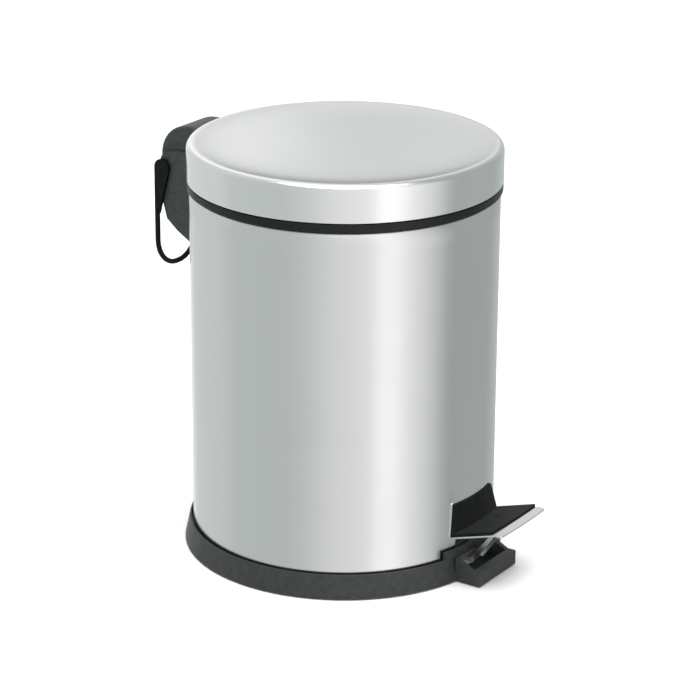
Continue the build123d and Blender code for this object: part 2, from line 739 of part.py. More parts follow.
with BuildPart() as pedal_plate:
    rear_flap(-pedal_wall, pedal_wall)
    add(pedal_front(0, pedal_lip_y), mode=Mode.INTERSECT)
    side_slab([*flap_under, (pedal_bend_y, 0), (flap_root_y, 0)], 50, Mode.SUBTRACT)
    with BuildSketch(Plane.YZ) as flap_section:
        with BuildLine():
            Polyline(
                flap_under[0],
                flap_under[1],
                (pedal_lip_y - 5, flap_under[1][1] + 0.2),
                (pedal_lip_y - 5, flap_under[1][1] + 0.2 + pedal_wall),
                (pedal_bend_y, flap_z(pedal_bend_y)),
                (flap_root_y, flap_z(flap_root_y)),
                close=True,
            )
        make_face()
    front_flap = extrude(flap_section.sketch, amount=pedal_half_width + 5, both=True, mode=Mode.PRIVATE)
    front_flap = front_flap & pedal_plan(0, pedal_lip_y)
    front_flap = front_flap - Cylinder(pedal_valley - 0.7, 200, mode=Mode.PRIVATE)
    add(front_flap)
    pedal_rivet_holes()

with BuildPart() as pedal_pad:
    rear_flap(0, pad_back_wall)
    add(pedal_front(pad_margin, pedal_lip_y), mode=Mode.INTERSECT)
    with BuildSketch(Plane.YZ) as pad_section:
        with BuildLine():
            Polyline(
                (flap_root_y, flap_z(flap_root_y)),
                (pad_front_y - 5, flap_z(pad_front_y - 5)),
                (pad_front_y - 5, flap_z(pad_front_y - 5) + pad_wall),
                (flap_root_y, flap_z(flap_root_y) + pad_wall),
                close=True,
            )
        make_face()
    front_pad = extrude(pad_section.sketch, amount=pedal_half_width + 5, both=True, mode=Mode.PRIVATE)
    front_pad = front_pad & pedal_plan(pad_margin, pad_front_y)
    front_pad = front_pad - Cylinder(pedal_valley, 200, mode=Mode.PRIVATE)
    add(front_pad)
    turned([
        (pedal_valley - 30, pedal_valley_z - 4),
        (pedal_valley, pedal_valley_z - 4),
        (pedal_valley, pedal_valley_z),
        (pedal_valley - pedal_lean, pedal_top_z),
        (pedal_valley - 30, pedal_top_z),
    ], Mode.SUBTRACT)
    side_slab([(flap_root_y, flap_z(flap_root_y)), (pedal_lip_y - 9, flap_z(pedal_lip_y - 9)),
               (pedal_lip_y - 9, 0), (flap_root_y, 0)], 50, Mode.SUBTRACT)

# the lever is a channel: a side outline cut to a plan outline, hollowed from below
rise = radians(lever_rise)
flap_angle = radians(pedal_slope)
knee = (lever_knee_y, lever_z)
under_y, under_z = flap_under[0]
top_reach = (under_z - lever_z + (under_y - lever_knee_y) * slope) / (tan(rise) - slope)
top_bend = (lever_knee_y - top_reach, lever_z + top_reach * tan(rise))
tongue_reach = (top_bend[0] - pedal_bend_y) / cos(flap_angle) - fit_gap
tongue_end = (
    top_bend[0] - tongue_reach * cos(flap_angle),
    top_bend[1] + tongue_reach * sin(flap_angle),
)
lever_end_y = rod_y + lever_rear


def lever_side(shift, depth):
    """Side outline of the lever between two depths below its top face."""
    knee_in = tan(rise / 2)
    bend_in = tan((flap_angle - rise) / 2)

    def shifted(point, turn, amount):
        return (point[0] - amount * turn, point[1] - amount)

    def tongue_point(amount):
        return (
            tongue_end[0] - amount * sin(flap_angle),
            tongue_end[1] - amount * cos(flap_angle),
        )

    def bend_point(amount):
        along = amount * bend_in
        return (
            top_bend[0] - amount * sin(flap_angle) - along * cos(flap_angle),
            top_bend[1] - amount * cos(flap_angle) + along * sin(flap_angle),
        )

    return [
        (lever_end_y + 1, lever_z - shift),
        shifted(knee, knee_in, shift),
        bend_point(shift),
        tongue_point(shift),
        tongue_point(depth),
        bend_point(depth),
        shifted(knee, knee_in, depth),
        (lever_end_y + 1, lever_z - depth),
    ]


def lever_plan(inset):
    """Plan outline of the lever, wide at the pedal and narrow at the rod."""
    wide = lever_half_width - inset
    narrow = lever_rear_half_width - inset
    rear = lever_end_y - inset
    with BuildSketch() as outline:
        with BuildLine():
            Polyline(
                (wide, pedal_lip_y - 5),
                (wide, lever_taper[0]),
                (narrow, lever_taper[1]),
                (narrow, rear),
                (-narrow, rear),
                (-narrow, lever_taper[1]),
                (-wide, lever_taper[0]),
                (-wide, pedal_lip_y - 5),
                close=True,
            )
        make_face()
    return extrude(outline.sketch, amount=100, mode=Mode.PRIVATE)


with BuildPart() as pedal_lever:
    side_slab(lever_side(0, lever_depth), lever_half_width + 5)
    add(lever_plan(0), mode=Mode.INTERSECT)
    with BuildSketch(Plane.YZ) as lever_hollow:
        with BuildLine():
            Polyline(*lever_side(lever_wall, lever_depth + 1), close=True)
        make_face()
    hollow = extrude(lever_hollow.sketch, amount=lever_half_width + 5, both=True, mode=Mode.PRIVATE)
    add(hollow & lever_plan(lever_wall), mode=Mode.SUBTRACT)
    for side in (-1, 1):
        ends = sorted((side * (lever_half_width - lever_wall), side * lever_half_width))
        bar_x(ear_radius, *ends, axle_y, axle_z)
    bar_x(axle_radius + run_gap + bush_wall, -cheek_x, cheek_x, axle_y, axle_z, Mode.SUBTRACT)
    pedal_rivet_holes()

with BuildPart() as pedal_rivets:
    with BuildSketch(rivet_plane) as shanks:
        with Locations((-pedal_rivet_x, 0), (pedal_rivet_x, 0)):
            Circle(rivet_radius)
    extrude(amount=-(pedal_wall + lever_wall))
    with BuildSketch(rivet_plane.offset(-(pedal_wall + lever_wall))) as heads:
        with Locations((-pedal_rivet_x, 0), (pedal_rivet_x, 0)):
            Circle(pedal_rivet_head)
    extrude(amount=-1.2)

with BuildPart() as lever_bushes:
    for side in (-1, 1):
        ends = sorted((side * (lever_half_width - lever_wall), side * lever_half_width))
        bar_x(axle_radius + run_gap + bush_wall, *ends, axle_y, axle_z)
        ends = sorted((side * lever_half_width, side * (cheek_x - 0.3)))
        bar_x(spacer_radius, *ends, axle_y, axle_z)
    bar_x(axle_radius + run_gap, -cheek_x, cheek_x, axle_y, axle_z, Mode.SUBTRACT)

with BuildPart() as lever_end_cap:
    block((-lever_rear_half_width + 2, lever_end_y - 9, lever_z),
          (lever_rear_half_width - 2, lever_end_y, lever_z + cap_height))
    fillet(lever_end_cap.faces().sort_by(Axis.Z)[-1].edges(), 0.8)

pieces = {
    "body_shell": body_shell.part,
    "top_collar": top_collar.part,
    "base_ring": base_ring.part,
    "rubber_foot_ring": rubber_foot_ring.part,
    "base_plate": base_plate.part,
    "base_screws": base_screws.part,
    "pedal_axle": pedal_axle.part,
    "axle_clips": axle_clips.part,
    "inner_bucket": inner_bucket.part,
    "bucket_bail": bucket_bail.part,
    "lid_shell": lid_shell.part,
    "lid_backing_plate": lid_backing_plate.part,
    "lid_hood": lid_hood.part,
    "lid_rivets": lid_rivets.part,
    "hinge_housing": hinge_housing.part,
    "hinge_pin": hinge_pin.part,
    "housing_backing_plate": housing_backing_plate.part,
    "housing_screws": housing_screws.part,
    "carry_bail": carry_bail.part,
    "push_rod": push_rod.part,
    "rod_cap": rod_cap.part,
    **guides,
    "pedal_plate": pedal_plate.part,
    "pedal_pad": pedal_pad.part,
    "pedal_lever": pedal_lever.part,
    "pedal_rivets": pedal_rivets.part,
    "lever_bushes": lever_bushes.part,
    "lever_end_cap": lever_end_cap.part,
}
os.makedirs("parts", exist_ok=True)
for piece_name, piece in pieces.items():
    piece.label = piece_name
    export_step(piece, f"parts/{piece_name}.step")
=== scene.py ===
"""Looks of a round pedal bin: polished steel shell and lid, black mouldings and a pressed steel pedal."""

import json
import logging
import math
from abc import ABC, abstractmethod
from collections.abc import Callable, Iterable
from dataclasses import dataclass, field
from enum import Enum

import bmesh
import bpy
from mathutils import Matrix, Vector

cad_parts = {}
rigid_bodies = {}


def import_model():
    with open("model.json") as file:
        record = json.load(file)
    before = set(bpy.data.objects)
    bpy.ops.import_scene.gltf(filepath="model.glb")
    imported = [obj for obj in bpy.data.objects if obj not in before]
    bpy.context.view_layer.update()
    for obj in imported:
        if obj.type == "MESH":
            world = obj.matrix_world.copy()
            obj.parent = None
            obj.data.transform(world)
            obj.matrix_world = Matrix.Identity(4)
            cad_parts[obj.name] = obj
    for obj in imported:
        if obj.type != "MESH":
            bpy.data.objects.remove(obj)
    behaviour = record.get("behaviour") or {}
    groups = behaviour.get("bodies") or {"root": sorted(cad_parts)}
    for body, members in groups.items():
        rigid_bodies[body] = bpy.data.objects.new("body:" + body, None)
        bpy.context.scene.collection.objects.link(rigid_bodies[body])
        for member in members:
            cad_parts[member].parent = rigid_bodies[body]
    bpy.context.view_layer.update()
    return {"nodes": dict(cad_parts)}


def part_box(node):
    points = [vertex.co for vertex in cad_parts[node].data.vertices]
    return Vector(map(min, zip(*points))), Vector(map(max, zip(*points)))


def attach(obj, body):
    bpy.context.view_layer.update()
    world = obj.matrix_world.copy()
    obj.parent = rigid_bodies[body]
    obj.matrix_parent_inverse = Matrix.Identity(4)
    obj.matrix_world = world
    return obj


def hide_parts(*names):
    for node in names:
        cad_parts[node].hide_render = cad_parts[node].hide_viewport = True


LOG = logging.getLogger("pedal_bin")
MM = 0.001
WELD = 2e-6  # metres within which a CAD mesh's points become one
FLAT_ANGLE = 0.6  # degrees under which neighbouring faces count as one flat
CREASE_ANGLE = 30.0  # degrees above which a reworked edge is a crease
ROUNDED_ANGLE = 38.0  # degrees above which an edge is rounded
FRONT = -90.0  # the pedal's side, in degrees about the can's axis
BACK = 90.0  # the hinge's side
NODES: dict[str, str] = {}  # each CAD node's object, filled in once the frame is loaded


class Body(Enum):
    """The moving bodies that pieces ride on."""

    CAN = "can"
    LID = "lid"
    PEDAL = "pedal"
    ROD = "lift_rod"
    HANDLE = "carry_handle"


class Axis(Enum):
    """How a metal's polishing lines run."""

    UPRIGHT = (220.0, 220.0, 3.0)
    FLAT = (3.0, 160.0, 160.0)
    NONE = (60.0, 60.0, 60.0)


# ------------------------------------------------------------------ shader groups


def new_group(name: str, inputs: dict[str, float], outputs: Iterable[str]) -> bpy.types.NodeTree:
    """Makes an empty shader node group.

    Args:
        name: the group's name.
        inputs: each number input and its default.
        outputs: the names of its number outputs.

    Returns:
        The group, with its Group Input and Group Output nodes in place.
    """
    group = bpy.data.node_groups.new(name, "ShaderNodeTree")
    for label, value in inputs.items():
        socket = group.interface.new_socket(label, in_out="INPUT", socket_type="NodeSocketFloat")
        socket.default_value = value
    for label in outputs:
        group.interface.new_socket(label, in_out="OUTPUT", socket_type="NodeSocketFloat")
    group.nodes.new("NodeGroupInput").name = "in"
    group.nodes.new("NodeGroupOutput").name = "out"
    return group


def noise(tree: bpy.types.NodeTree, vector: bpy.types.NodeSocket, scale: float,
          detail: float) -> bpy.types.Node:
    """Adds a noise texture.

    Args:
        tree: the node tree it goes in.
        vector: the coordinates it reads.
        scale: its scale, per metre.
        detail: its number of octaves.

    Returns:
        The noise node.
    """
    node = tree.nodes.new("ShaderNodeTexNoise")
    node.inputs["Scale"].default_value = scale
    node.inputs["Detail"].default_value = detail
    tree.links.new(vector, node.inputs["Vector"])
    return node


def feed(tree: bpy.types.NodeTree, term: object, socket: bpy.types.NodeSocket) -> None:
    """Sets an input to a number, or links a socket to it.

    Args:
        tree: the node tree.
        term: the number or the socket.
        socket: the input.
    """
    if isinstance(term, bpy.types.NodeSocket):
        tree.links.new(term, socket)
    else:
        socket.default_value = term


def work_out(tree: bpy.types.NodeTree, operation: str, *terms: object) -> bpy.types.NodeSocket:
    """Adds a sum, a product or another step of arithmetic.

    Args:
        tree: the node tree.
        operation: the Math node's operation.
        terms: its inputs in order, each a number or a socket.

    Returns:
        The result's socket.
    """
    node = tree.nodes.new("ShaderNodeMath")
    node.operation = operation
    for term, socket in zip(terms, node.inputs):
        feed(tree, term, socket)
    return node.outputs["Value"]


def place_group(tree: bpy.types.NodeTree, group: bpy.types.NodeTree,
                values: dict[str, float]) -> bpy.types.Node:
    """Places a shared group in a material.

    Args:
        tree: the material's node tree.
        group: the shared group.
        values: the group's inputs.

    Returns:
        The group node.
    """
    node = tree.nodes.new("ShaderNodeGroup")
    node.node_tree = group
    for label, value in values.items():
        node.inputs[label].default_value = value
    return node


def span(tree: bpy.types.NodeTree, value: bpy.types.NodeSocket, low: float, high: float,
         to_low: object, to_high: object) -> bpy.types.NodeSocket:
    """Maps a value between two ends, clamped.

    Args:
        tree: the node tree.
        value: the socket to map.
        low: the value that gives to_low.
        high: the value that gives to_high.
        to_low: a number or a socket.
        to_high: a number or a socket.

    Returns:
        The mapped socket.
    """
    node = tree.nodes.new("ShaderNodeMapRange")
    node.inputs["From Min"].default_value = low
    node.inputs["From Max"].default_value = high
    feed(tree, to_low, node.inputs["To Min"])
    feed(tree, to_high, node.inputs["To Max"])
    tree.links.new(value, node.inputs["Value"])
    return node.outputs["Result"]


class Groups:
    """The shader node groups that several materials share, each built once.

    Scales are per metre, and a band is the part of a noise's range that a mask rises over.
    """

    fine_scale: float = 1400.0
    coarse_scale: float = 240.0
    fleck_band: tuple[float, float] = (0.35, 0.7)
    line_scale: float = 14.0
    cloud_scale: float = 9.0
    streak_band: tuple[float, float] = (0.35, 0.65)
    smear_scale: float = 22.0
    smear_twist: float = 0.6
    smear_band: tuple[float, float] = (0.5, 0.72)

    def __init__(self) -> None:
        """Builds the groups."""
        self.grain = self.build_grain()
        self.polish = self.build_polish()
        self.handling = self.build_handling()

    def build_grain(self) -> bpy.types.NodeTree:
        """Builds the spark-eroded grain of a moulding, as a height and a fleck mask."""
        group = new_group("moulded_grain", {"Scale": self.fine_scale, "Fleck": 0.5}, ("Height", "Fleck"))
        place = group.nodes.new("ShaderNodeTexCoord").outputs["Object"]
        fine = noise(group, place, self.fine_scale, detail=3.0)
        group.links.new(group.nodes["in"].outputs["Scale"], fine.inputs["Scale"])
        coarse = noise(group, place, self.coarse_scale, detail=2.0)
        height = work_out(group, "ADD", fine.outputs["Fac"], coarse.outputs["Fac"])
        group.links.new(height, group.nodes["out"].inputs["Height"])
        fleck = span(group, coarse.outputs["Fac"], *self.fleck_band, 0.0, group.nodes["in"].outputs["Fleck"])
        group.links.new(fleck, group.nodes["out"].inputs["Fleck"])
        return group

    def build_polish(self) -> bpy.types.NodeTree:
        """Builds the fine lines that polishing leaves, stretched along one direction."""
        group = new_group("polishing_lines", {"X": 60.0, "Y": 60.0, "Z": 60.0}, ("Height", "Streak"))
        place = group.nodes.new("ShaderNodeTexCoord").outputs["Object"]
        scale = group.nodes.new("ShaderNodeCombineXYZ")
        for label in "XYZ":
            group.links.new(group.nodes["in"].outputs[label], scale.inputs[label])
        stretch = group.nodes.new("ShaderNodeVectorMath")
        stretch.operation = "MULTIPLY"
        group.links.new(place, stretch.inputs[0])
        group.links.new(scale.outputs["Vector"], stretch.inputs[1])
        lines = noise(group, stretch.outputs["Vector"], self.line_scale, detail=4.0)
        cloud = noise(group, place, self.cloud_scale, detail=2.0)
        group.links.new(lines.outputs["Fac"], group.nodes["out"].inputs["Height"])
        streak = span(group, cloud.outputs["Fac"], *self.streak_band, 0.0, 1.0)
        group.links.new(streak, group.nodes["out"].inputs["Streak"])
        return group

    def build_handling(self) -> bpy.types.NodeTree:
        """Builds faint smudges of handling and dust, as one mask."""
        group = new_group("handling_marks", {"Scale": self.smear_scale, "Amount": 1.0}, ("Mask",))
        place = group.nodes.new("ShaderNodeTexCoord").outputs["Object"]
        smear = noise(group, place, self.smear_scale, detail=5.0)
        smear.inputs["Distortion"].default_value = self.smear_twist
        group.links.new(group.nodes["in"].outputs["Scale"], smear.inputs["Scale"])
        mask = span(group, smear.outputs["Fac"], *self.smear_band, 0.0, group.nodes["in"].outputs["Amount"])
        group.links.new(mask, group.nodes["out"].inputs["Mask"])
        return group


# ------------------------------------------------------------------ finishes


@dataclass(frozen=True)
class Finish(ABC):
    """A surface finish and how its material is made.

    The spread is how much rougher its marks are, and the bump is the strength of its relief.
    """

    name: str
    slot: str
    colour: tuple[float, float, float]
    roughness: float
    spread: float = 0.06
    bump: float = 0.1

    @abstractmethod
    def material(self, groups: Groups) -> bpy.types.Material:
        """Builds the finish's material from the shared groups."""

    def start(self) -> tuple[bpy.types.Material, bpy.types.NodeTree, bpy.types.Node]:
        """Starts the material.

        Returns:
            The material, its node tree and its Principled shader.
        """
        material = bpy.data.materials.new(self.name)
        material.use_nodes = True
        tree = material.node_tree
        shader = tree.nodes["Principled BSDF"]
        return material, tree, shader

    def tint(self, tree: bpy.types.NodeTree, shader: bpy.types.Node, mask: bpy.types.NodeSocket,
             change: float) -> None:
        """Varies the base colour over a mask.

        Args:
            tree: the material's node tree.
            shader: its Principled shader.
            mask: where the colour changes.
            change: the brightness factor where the mask is 1.
        """
        mix = tree.nodes.new("ShaderNodeMix")
        mix.data_type = "RGBA"
        mix.inputs["A"].default_value = (*self.colour, 1.0)
        mix.inputs["B"].default_value = (*(min(1.0, c * change) for c in self.colour), 1.0)
        tree.links.new(mask, mix.inputs["Factor"])
        tree.links.new(mix.outputs["Result"], shader.inputs["Base Color"])

    def emboss(self, tree: bpy.types.NodeTree, shader: bpy.types.Node, height: bpy.types.NodeSocket,
               distance: float) -> None:
        """Feeds a height to the shader's normal through a Bump node.

        Args:
            tree: the material's node tree.
            shader: its Principled shader.
            height: the height.
            distance: the depth of the bump, in metres.
        """
        bump = tree.nodes.new("ShaderNodeBump")
        bump.inputs["Strength"].default_value = self.bump
        bump.inputs["Distance"].default_value = distance
        tree.links.new(height, bump.inputs["Height"])
        tree.links.new(bump.outputs["Normal"], shader.inputs["Normal"])


@dataclass(frozen=True)
class Metal(Finish):
    """Polished or plated metal with faint lines and smudges."""

    lines: Axis = Axis.NONE
    marks: float = 0.5
    smudge_tint: float = 0.97
    smudge_rough: float = 0.05
    line_depth: float = 0.02 * MM

    def material(self, groups: Groups) -> bpy.types.Material:
        """Builds the metal.

        Args:
            groups: the shared shader groups.

        Returns:
            The material.
        """
        material, tree, shader = self.start()
        shader.inputs["Metallic"].default_value = 1.0
        polish = place_group(tree, groups.polish, dict(zip("XYZ", self.lines.value)))
        smudge = place_group(tree, groups.handling, {"Amount": self.marks})
        self.tint(tree, shader, smudge.outputs["Mask"], self.smudge_tint)
        base = span(tree, polish.outputs["Streak"], 0.0, 1.0, self.roughness, self.roughness + self.spread)
        rough = work_out(tree, "MULTIPLY_ADD", smudge.outputs["Mask"], self.smudge_rough, base)
        tree.links.new(rough, shader.inputs["Roughness"])
        self.emboss(tree, shader, polish.outputs["Height"], self.line_depth)
        return material


@dataclass(frozen=True)
class Moulding(Finish):
    """Moulded plastic or rubber with a fine grain."""

    grain: float = 1400.0
    lift: float = 1.35
    specular: float = 0.5
    grain_depth: float = 0.12 * MM
    marks_scale: float = 40.0

    def material(self, groups: Groups) -> bpy.types.Material:
        """Builds the moulding's material.

        Args:
            groups: the shared shader groups.

        Returns:
            The material.
        """
        material, tree, shader = self.start()
        shader.inputs["Specular IOR Level"].default_value = self.specular
        grain = place_group(tree, groups.grain, {"Scale": self.grain, "Fleck": 1.0})
        marks = place_group(tree, groups.handling, {"Scale": self.marks_scale, "Amount": 1.0})
        self.tint(tree, shader, grain.outputs["Fleck"], self.lift)
        rough = span(tree, marks.outputs["Mask"], 0.0, 1.0, self.roughness, self.roughness + self.spread)
        tree.links.new(rough, shader.inputs["Roughness"])
        self.emboss(tree, shader, grain.outputs["Height"], self.grain_depth)
        return material


class Wardrobe:
    """Every material of the bin, built once and handed out by name."""

    FINISHES: tuple[Finish, ...] = (
        Metal("shell_steel", "body_steel", (0.86, 0.87, 0.86), 0.19, 0.04, 0.04, Axis.UPRIGHT, 0.4),
        Metal("lid_polish", "lid_steel", (0.96, 0.97, 0.96), 0.17, 0.04, 0.04, Axis.FLAT, 0.4),
        Metal("pedal_bright", "pedal_steel", (0.88, 0.89, 0.89), 0.24, 0.06, 0.06),
        Metal("zinc_plate", "zinc_steel", (0.62, 0.64, 0.66), 0.32, 0.1, 0.15),
        Moulding("base_black", "base_plastic", (0.03, 0.033, 0.032), 0.42, 0.1, 0.16, specular=0.35),
        Moulding("collar_black", "collar_plastic", (0.006, 0.007, 0.007), 0.36, 0.1, 0.08, specular=0.3),
        Moulding("hinge_black", "hinge_plastic", (0.034, 0.04, 0.04), 0.4, 0.1, 0.2, specular=0.3),
        Moulding("bail_black", "bail_plastic", (0.004, 0.0045, 0.0045), 0.42, 0.1, 0.1, specular=0.15),
        Moulding("bucket_grey", "bucket_plastic", (0.035, 0.036, 0.038), 0.45, 0.12, 0.12),
        Moulding("natural_nylon", "nylon", (0.62, 0.61, 0.56), 0.42, 0.1, 0.08, 900.0, 1.08),
        Moulding("pad_rubber_black", "pad_rubber", (0.006, 0.0065, 0.0065), 0.55, 0.14, 0.3, 1800.0, 1.5,
                 specular=0.12),
        Moulding("foot_rubber_black", "foot_rubber", (0.03, 0.03, 0.03), 0.7, 0.1, 0.3, 900.0, 1.5),
    )

    def __init__(self) -> None:
        """Builds the shared groups and every material."""
        groups = Groups()
        self.made = {finish.slot: finish.material(groups) for finish in self.FINISHES}

    def dress(self, piece: bpy.types.Object, slot: str) -> None:
        """Gives a piece its one material, the one made for its slot.

        Args:
            piece: the piece.
            slot: its material slot.
        """
        piece.data.materials.clear()
        piece.data.materials.append(self.made[slot])


# ------------------------------------------------------------------ mesh work

Profile = list[tuple[float, float]]


def arc(centre: tuple[float, float], radius: float, start: float, end: float, steps: int) -> Profile:
    """Points along an arc.

    Args:
        centre: its centre.
        radius: its radius.
        start: its first angle, in degrees.
        end: its last angle, in degrees.
        steps: how many spans it has.

    Returns:
        The points, both ends among them.
    """
    turns = [math.radians(start + (end - start) * i / steps) for i in range(steps + 1)]
    return [(centre[0] + radius * math.cos(t), centre[1] + radius * math.sin(t)) for t in turns]


def finish_mesh(name: str, mesh_maker: bmesh.types.BMesh, sharp: float = 40.0) -> bpy.types.Object:
    """Turns mesh work into an object with smooth shading and sharp creases.

    Args:
        name: the object's name.
        mesh_maker: the mesh being built, freed here.
        sharp: the angle above which an edge is a crease, in degrees.

    Returns:
        The object, linked to the scene.
    """
    bmesh.ops.recalc_face_normals(mesh_maker, faces=mesh_maker.faces)
    mesh = bpy.data.meshes.new(name)
    mesh_maker.to_mesh(mesh)
    mesh_maker.free()
    mesh.shade_smooth()
    mesh.set_sharp_from_angle(angle=math.radians(sharp))
    piece = bpy.data.objects.new(name, mesh)
    bpy.context.scene.collection.objects.link(piece)
    return piece


def lathe(name: str, profile: Profile, segments: int = 288) -> bpy.types.Object:
    """Turns a closed outline about the can's axis.

    Args:
        name: the object's name.
        profile: (radius, height) points in metres; a radius of 0 is a pole.
        segments: how many faces go round.

    Returns:
        The turned object.
    """
    work = bmesh.new()
    rings: list[list[bmesh.types.BMVert]] = []
    for radius, height in profile:
        if radius < 1e-7:
            rings.append([work.verts.new((0.0, 0.0, height))])
            continue
        turns = [2 * math.pi * i / segments for i in range(segments)]
        rings.append([work.verts.new((radius * math.cos(t), radius * math.sin(t), height)) for t in turns])
    for first, second in zip(rings, rings[1:] + rings[:1]):
        if len(first) == 1 and len(second) == 1:
            continue
        for i in range(segments):
            j = (i + 1) % segments
            corners = [first[i % len(first)], first[j % len(first)],
                       second[j % len(second)], second[i % len(second)]]
            work.faces.new(list(dict.fromkeys(corners)))
    return finish_mesh(name, work)


def soften(piece: bpy.types.Object, width: float, segments: int = 3) -> None:
    """Rounds a piece's hard edges and evens its shading.

    Args:
        piece: the piece.
        width: the width of the rounding, in metres.
        segments: how many faces cross it.
    """
    bevel = piece.modifiers.new("rounded_edges", "BEVEL")
    bevel.width = width
    bevel.segments = segments
    bevel.limit_method = "ANGLE"
    bevel.angle_limit = math.radians(ROUNDED_ANGLE)
    bevel.use_clamp_overlap = True
    bevel.harden_normals = True
    normals = piece.modifiers.new("even_shading", "WEIGHTED_NORMAL")
    normals.keep_sharp = True


def rework(node: str, name: str, width: float) -> bpy.types.Object:
    """Copies a CAD node's shape, welds it, clears its flat faces and rounds its edges.

    Args:
        node: the CAD node.
        name: the new piece's name.
        width: the width of the rounding, in metres.

    Returns:
        The new piece, which stands for the node.
    """
    work = bmesh.new()
    work.from_mesh(bpy.data.objects[NODES[node]].data)
    bmesh.ops.remove_doubles(work, verts=work.verts, dist=WELD)
    bmesh.ops.dissolve_limit(work, angle_limit=math.radians(FLAT_ANGLE), verts=work.verts, edges=work.edges)
    piece = finish_mesh(name, work, CREASE_ANGLE)
    soften(piece, width)
    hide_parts(node)
    return piece


@dataclass
class Assembly(ABC):
    """A sub-assembly: the finishes it is dressed from and the body it rides on."""

    wardrobe: Wardrobe
    made: list[bpy.types.Object] = field(default_factory=list)

    @abstractmethod
    def build(self) -> None:
        """Builds and dresses every piece of the sub-assembly."""

    def keep(self, piece: bpy.types.Object, slot: str, body: Body) -> bpy.types.Object:
        """Dresses a piece, hangs it on its body and reports it.

        Args:
            piece: the piece.
            slot: its material slot.
            body: the body it rides on.

        Returns:
            The same piece.
        """
        self.wardrobe.dress(piece, slot)
        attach(piece, body.value)
        self.made.append(piece)
        LOG.info("%s rides on %s in %s", piece.name, body.value, slot)
        return piece

    def rework_all(self, rows: Iterable[tuple[str, str, float, str]], body: Body) -> None:
        """Reworks a run of CAD nodes.

        Args:
            rows: for each, the node, the new name, the rounding in mm and the slot.
            body: the body they ride on.
        """
        for node, name, width, slot in rows:
            self.keep(rework(node, name, width * MM), slot, body)


